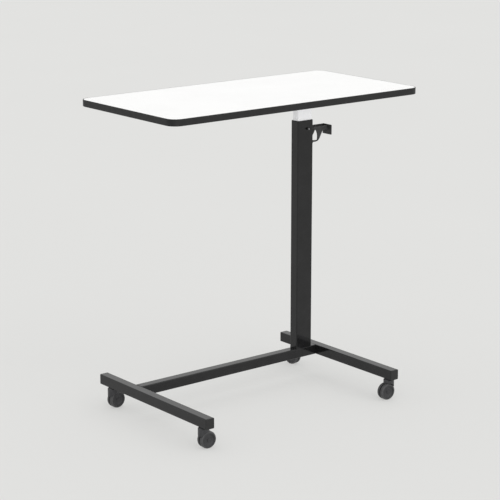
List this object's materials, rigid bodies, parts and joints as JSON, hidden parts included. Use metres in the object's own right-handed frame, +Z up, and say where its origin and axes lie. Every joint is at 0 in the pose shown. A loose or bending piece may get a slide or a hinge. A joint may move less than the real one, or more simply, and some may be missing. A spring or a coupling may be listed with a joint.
{
  "type": "overbed table",
  "caption": "Overbed table: rounded rectangular top held near one end by a telescoping column with a height lever, on a low tubular H-shaped base with swivel casters.",
  "frame": {"origin": "on the floor, at the middle of the object's bounding box, under the tabletop's centre", "axes": "+X along the tabletop's long side towards the column's end, -Y towards the front, +Z up. The lever is on the column's +X side."},
  "size_m": [0.8, 0.4634, 0.831],
  "materials": {
    "powder_coat": "satin black powder coat",
    "paddle_coat": "fine-textured matt black powder coat",
    "mast_paint": "satin off-white paint",
    "white_laminate": "fibreboard faced with matt white laminate",
    "edge_band": "fine-grained matt black",
    "black_nylon": "moulded matt black",
    "caster_plastic": "moulded matt dark grey",
    "caster_tread": "moulded matt dark grey",
    "zinc_steel": "zinc plated",
    "chromed_rod": "polished hard chrome",
    "gas_spring_paint": "gloss black",
    "brake_rubber": "moulded"
  },
  "bodies": {
    "base": {"left_foot": "powder_coat", "right_foot": "powder_coat", "foot_cap_front_left": "black_nylon", "foot_cap_front_right": "black_nylon", "foot_cap_rear_left": "black_nylon", "foot_cap_rear_right": "black_nylon", "central_bar": "powder_coat", "column_tube": "powder_coat", "guide_bush": "black_nylon", "play_screw": "zinc_steel", "play_nut": "powder_coat", "spring_anchor": "zinc_steel", "gas_rod": "chromed_rod", "rod_nut": "zinc_steel", "lever_bracket": "powder_coat", "lever_pin": "powder_coat", "pin_clip": "zinc_steel", "caster_stem_front_left": "zinc_steel", "caster_stem_rear_left": "zinc_steel", "caster_stem_front_right": "zinc_steel", "caster_stem_rear_right": "zinc_steel"},
    "mast": {"mast_tube": "mast_paint", "mast_glide": "black_nylon", "gas_cylinder": "gas_spring_paint", "cylinder_pin": "zinc_steel", "carrier_channel": "powder_coat", "cross_bar_left": "powder_coat", "cross_bar_right": "powder_coat", "tabletop_board": "white_laminate", "edge_band": "edge_band", "top_screw_left_1": "zinc_steel", "top_screw_left_2": "zinc_steel", "top_screw_left_3": "zinc_steel", "top_screw_right_1": "zinc_steel", "top_screw_right_2": "zinc_steel", "top_screw_right_3": "zinc_steel"},
    "lever": {"lever_arm": "paddle_coat", "finger_paddle": "paddle_coat", "brake_shoe": "brake_rubber", "return_spring": "zinc_steel"},
    "caster_front_left": {"caster_hood_front_left": "caster_plastic", "axle_front_left": "zinc_steel"},
    "wheel_front_left_a": {"wheel_front_left_a": "caster_tread"},
    "wheel_front_left_b": {"wheel_front_left_b": "caster_tread"},
    "caster_rear_left": {"caster_hood_rear_left": "caster_plastic", "axle_rear_left": "zinc_steel"},
    "wheel_rear_left_a": {"wheel_rear_left_a": "caster_tread"},
    "wheel_rear_left_b": {"wheel_rear_left_b": "caster_tread"},
    "caster_front_right": {"caster_hood_front_right": "caster_plastic", "axle_front_right": "zinc_steel"},
    "wheel_front_right_a": {"wheel_front_right_a": "caster_tread"},
    "wheel_front_right_b": {"wheel_front_right_b": "caster_tread"},
    "caster_rear_right": {"caster_hood_rear_right": "caster_plastic", "axle_rear_right": "zinc_steel"},
    "wheel_rear_right_a": {"wheel_rear_right_a": "caster_tread"},
    "wheel_rear_right_b": {"wheel_rear_right_b": "caster_tread"}
  },
  "joints": [
    {"name": "height_slide", "type": "slide", "parent": "base", "child": "mast", "axis": [0, 0, 1], "range_m": [-0.075, 0.3]},
    {"name": "lever_pivot", "type": "hinge", "parent": "base", "child": "lever", "pos_m": [0.275, 0.0896, 0.692], "axis": [0, -1, 0], "range_deg": [0, 12], "stiffness_Nm_per_rad": 0.5, "springref_deg": -17.19},
    {"name": "swivel_front_left", "type": "hinge", "parent": "base", "child": "caster_front_left", "pos_m": [-0.319, -0.204, 0.052], "axis": [0, 0, 1], "continuous": true},
    {"name": "spin_front_left_a", "type": "hinge", "parent": "caster_front_left", "child": "wheel_front_left_a", "pos_m": [-0.31002, -0.20463, 0.0223], "axis": [0.0698, 0.9976, 0], "continuous": true},
    {"name": "spin_front_left_b", "type": "hinge", "parent": "caster_front_left", "child": "wheel_front_left_b", "pos_m": [-0.31002, -0.20463, 0.0223], "axis": [0.0698, 0.9976, 0], "continuous": true},
    {"name": "swivel_rear_left", "type": "hinge", "parent": "base", "child": "caster_rear_left", "pos_m": [-0.319, 0.19, 0.052], "axis": [0, 0, 1], "continuous": true},
    {"name": "spin_rear_left_a", "type": "hinge", "parent": "caster_rear_left", "child": "wheel_rear_left_a", "pos_m": [-0.31, 0.19, 0.0223], "axis": [0, 1, 0], "continuous": true},
    {"name": "spin_rear_left_b", "type": "hinge", "parent": "caster_rear_left", "child": "wheel_rear_left_b", "pos_m": [-0.31, 0.19, 0.0223], "axis": [0, 1, 0], "continuous": true},
    {"name": "swivel_front_right", "type": "hinge", "parent": "base", "child": "caster_front_right", "pos_m": [0.3001, -0.209, 0.052], "axis": [0, 0, 1], "continuous": true},
    {"name": "spin_front_right_a", "type": "hinge", "parent": "caster_front_right", "child": "wheel_front_right_a", "pos_m": [0.29112, -0.20837, 0.0223], "axis": [-0.0698, -0.9976, 0], "continuous": true},
    {"name": "spin_front_right_b", "type": "hinge", "parent": "caster_front_right", "child": "wheel_front_right_b", "pos_m": [0.29112, -0.20837, 0.0223], "axis": [-0.0698, -0.9976, 0], "continuous": true},
    {"name": "swivel_rear_right", "type": "hinge", "parent": "base", "child": "caster_rear_right", "pos_m": [0.3001, 0.18, 0.052], "axis": [0, 0, 1], "continuous": true},
    {"name": "spin_rear_right_a", "type": "hinge", "parent": "caster_rear_right", "child": "wheel_rear_right_a", "pos_m": [0.29854, 0.18886, 0.0223], "axis": [-0.9848, -0.1736, 0], "continuous": true},
    {"name": "spin_rear_right_b", "type": "hinge", "parent": "caster_rear_right", "child": "wheel_rear_right_b", "pos_m": [0.29854, 0.18886, 0.0223], "axis": [-0.9848, -0.1736, 0], "continuous": true}
  ]
}
